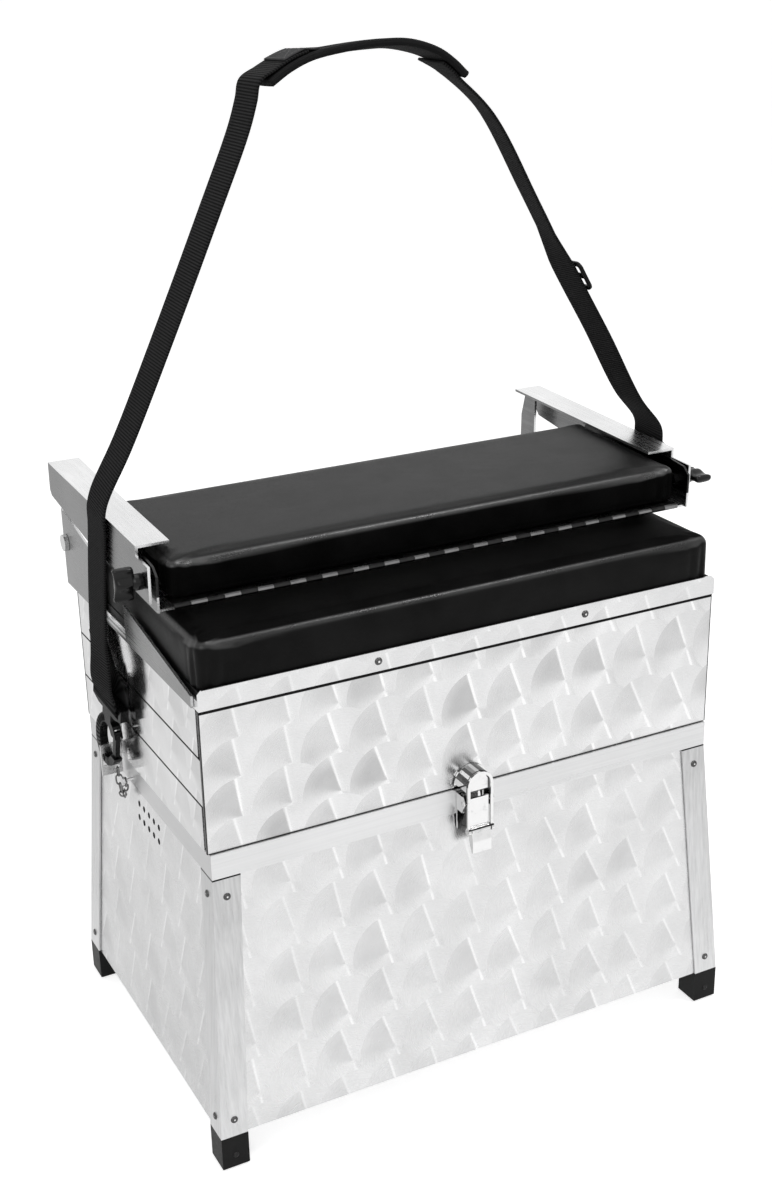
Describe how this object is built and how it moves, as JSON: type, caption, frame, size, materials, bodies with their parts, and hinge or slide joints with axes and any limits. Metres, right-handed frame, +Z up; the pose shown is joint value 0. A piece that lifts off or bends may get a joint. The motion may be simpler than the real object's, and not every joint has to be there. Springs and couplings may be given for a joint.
{
  "type": "fishing seat box",
  "caption": "Aluminium fishing seat box: tapered lower box, tilting tray section, cushioned seat lid, fold-down padded backrest, draw latch and shoulder strap.",
  "frame": {"origin": "on the ground, under the middle of the object's bounding box", "axes": "+Z up, +X to the right of the front, -Y out of the front with the latch"},
  "size_m": [0.5076, 0.309, 0.8028],
  "materials": {
    "perlage_aluminium": "engine-turned swirl discs, satin",
    "satin_aluminium": "plain satin",
    "steel": "zinc-plated",
    "chrome": "bright",
    "black_plastic": "satin black",
    "plywood": "raw",
    "vinyl": "soft satin vinyl",
    "webbing": "ribbed polyester webbing"
  },
  "bodies": {
    "lower_box": {"lower_front_panel": "perlage_aluminium", "lower_back_panel": "perlage_aluminium", "lower_left_panel": "perlage_aluminium", "lower_right_panel": "perlage_aluminium", "lower_floor": "perlage_aluminium", "lower_hinge_fixed_leaf": "steel", "corner_angle_front_left": "satin_aluminium", "corner_angle_front_right": "satin_aluminium", "corner_angle_back_left": "satin_aluminium", "corner_angle_back_right": "satin_aluminium", "foot_front_left": "black_plastic", "foot_front_right": "black_plastic", "foot_back_left": "black_plastic", "foot_back_right": "black_plastic", "rim_band": "satin_aluminium", "latch_base": "chrome"},
    "latch_lever": {"latch_lever": "chrome"},
    "latch_bail": {"latch_bail": "chrome"},
    "upper_section": {"upper_front_panel": "perlage_aluminium", "upper_back_panel": "perlage_aluminium", "upper_floor": "perlage_aluminium", "left_plank_lower": "perlage_aluminium", "left_plank_middle": "perlage_aluminium", "left_plank_upper": "perlage_aluminium", "right_plank_lower": "perlage_aluminium", "right_plank_middle": "perlage_aluminium", "right_plank_upper": "perlage_aluminium", "lower_hinge_moving_leaf": "steel", "lid_hinge_fixed_leaf": "steel", "latch_keeper": "chrome", "strap_bracket_left": "steel", "strap_bracket_right": "steel", "snap_hook_left": "black_plastic", "snap_hook_right": "black_plastic", "strap_webbing_left": "webbing", "strap_webbing_right": "webbing", "shoulder_pad": "webbing", "strap_adjuster": "black_plastic", "strap_buckle": "black_plastic", "stay_chain": "steel"},
    "hook_gate_left": {"hook_gate_left": "black_plastic"},
    "hook_gate_right": {"hook_gate_right": "black_plastic"},
    "seat_lid": {"seat_lid_pan": "satin_aluminium", "seat_board": "plywood", "seat_cushion": "vinyl", "lid_hinge_moving_leaf": "steel", "lid_side_plate_left": "satin_aluminium", "lid_side_plate_right": "satin_aluminium", "pivot_bolt_left": "steel", "pivot_bolt_right": "steel"},
    "backrest": {"rail_left": "satin_aluminium", "rail_right": "satin_aluminium", "pad_carrier_left": "satin_aluminium", "pad_carrier_right": "satin_aluminium", "pad_hinge_lower_leaf": "steel", "pad_hinge_upper_leaf": "steel", "backrest_board": "plywood", "backrest_cushion": "vinyl"},
    "knob_left": {"knob_left": "black_plastic"},
    "knob_right": {"knob_right": "black_plastic"}
  },
  "joints": [
    {"name": "upper_section_hinge", "type": "hinge", "parent": "lower_box", "child": "upper_section", "pos_m": [0, 0.1398, 0.26115], "axis": [-1, 0, 0], "range_deg": [0, 30], "deforming": ["stay_chain"]},
    {"name": "seat_lid_hinge", "type": "hinge", "parent": "upper_section", "child": "seat_lid", "pos_m": [0, 0.1374, 0.374], "axis": [-1, 0, 0], "range_deg": [0, 80], "deforming": ["strap_webbing_left", "strap_webbing_right", "shoulder_pad", "strap_adjuster", "strap_buckle"]},
    {"name": "backrest_pivot", "type": "hinge", "parent": "seat_lid", "child": "backrest", "pos_m": [0, 0.1413, 0.413], "axis": [-1, 0, 0], "range_deg": [0, 100], "deforming": ["strap_webbing_left", "strap_webbing_right", "shoulder_pad", "strap_adjuster", "strap_buckle"]},
    {"name": "knob_left_turn", "type": "hinge", "parent": "backrest", "child": "knob_left", "pos_m": [-0.24, -0.07228, 0.4522], "axis": [1, 0, 0], "continuous": true},
    {"name": "knob_right_turn", "type": "hinge", "parent": "backrest", "child": "knob_right", "pos_m": [0.24, -0.07228, 0.4522], "axis": [1, 0, 0], "continuous": true},
    {"name": "latch_lever_hinge", "type": "hinge", "parent": "lower_box", "child": "latch_lever", "pos_m": [-0.004, -0.146, 0.253], "axis": [-1, 0, 0], "range_deg": [0, 100]},
    {"name": "latch_bail_hinge", "type": "hinge", "parent": "latch_lever", "child": "latch_bail", "pos_m": [-0.004, -0.1498, 0.23], "axis": [-1, 0, 0], "range_deg": [-100, 0]},
    {"name": "hook_gate_left_hinge", "type": "hinge", "parent": "upper_section", "child": "hook_gate_left", "pos_m": [-0.22818, 0.03114, 0.28797], "axis": [0.9925, 0.1219, 0], "range_deg": [0, 20], "stiffness_Nm_per_rad": 0.02, "springref_deg": -20.05},
    {"name": "hook_gate_right_hinge", "type": "hinge", "parent": "upper_section", "child": "hook_gate_right", "pos_m": [0.22818, 0.03114, 0.28797], "axis": [0.9925, -0.1219, 0], "range_deg": [0, 20], "stiffness_Nm_per_rad": 0.02, "springref_deg": -20.05}
  ],
  "couplings": [
    {"joint": "latch_bail_hinge", "follows": "latch_lever_hinge", "ratio": -1}
  ]
}
